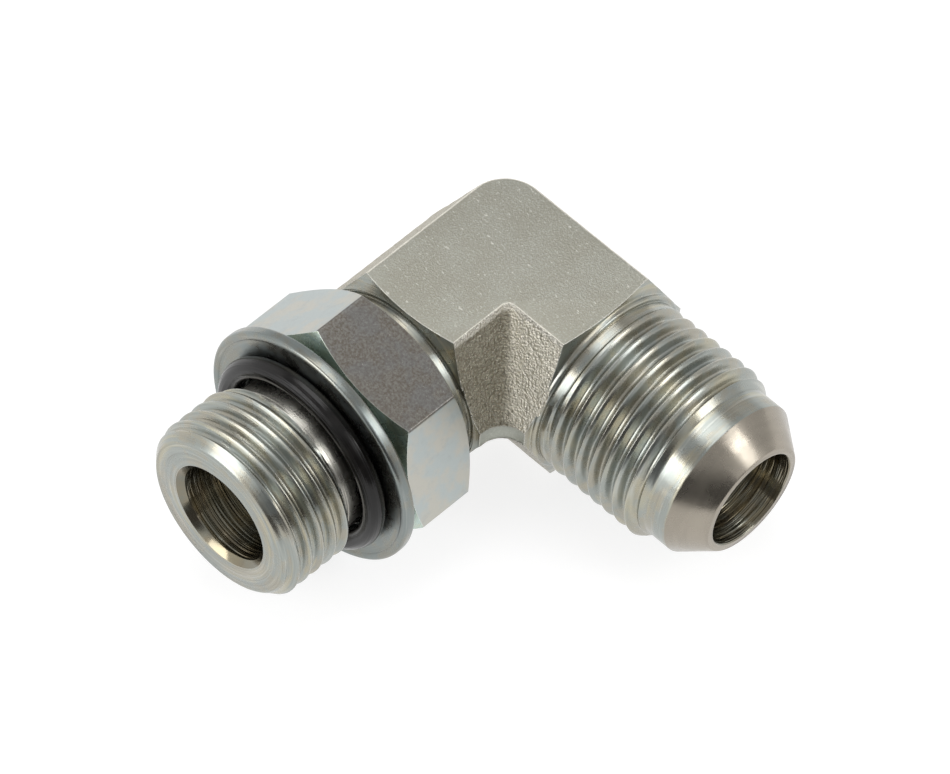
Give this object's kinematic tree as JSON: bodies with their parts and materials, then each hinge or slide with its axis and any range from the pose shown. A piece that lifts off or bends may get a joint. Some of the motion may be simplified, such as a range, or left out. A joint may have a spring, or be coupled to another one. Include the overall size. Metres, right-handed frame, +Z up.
{
  "type": "hydraulic elbow adapter",
  "caption": "Ninety degree hydraulic elbow adapter with a flare end, an adjustable stud end, lock nut, backup washer and seal ring.",
  "frame": {"origin": "on the lower pad of the forged block, straight below the crossing of the flare axis and the stud axis", "axes": "+X along the flare end, -Y along the stud end, +Z up, square to both pads"},
  "size_m": [0.0458, 0.0485, 0.0258],
  "materials": {
    "block_steel": "forged steel, fine-blasted and zinc plated, with turned and threaded ends",
    "nut_steel": "drawn hexagon steel, turned and zinc plated",
    "washer_steel": "turned and zinc plated, with a cold tint",
    "seal_rubber": "satin black moulded rubber"
  },
  "bodies": {
    "elbow": {"elbow_body": "block_steel"},
    "seal_stack": {"backup_washer": "washer_steel", "o_ring": "seal_rubber"},
    "nut": {"lock_nut": "nut_steel"}
  },
  "joints": [
    {"name": "stack_slide", "type": "slide", "parent": "elbow", "child": "seal_stack", "axis": [0, -1, 0], "range_m": [-0.0005, 0.0011]},
    {"name": "nut_turn", "type": "hinge", "parent": "seal_stack", "child": "nut", "pos_m": [0, -0.0196, 0.01022], "axis": [0, -1, 0], "range_deg": [-110, 245]}
  ],
  "couplings": [
    {"joint": "stack_slide", "follows": "nut_turn", "m_per_rad": 0.00025266}
  ]
}
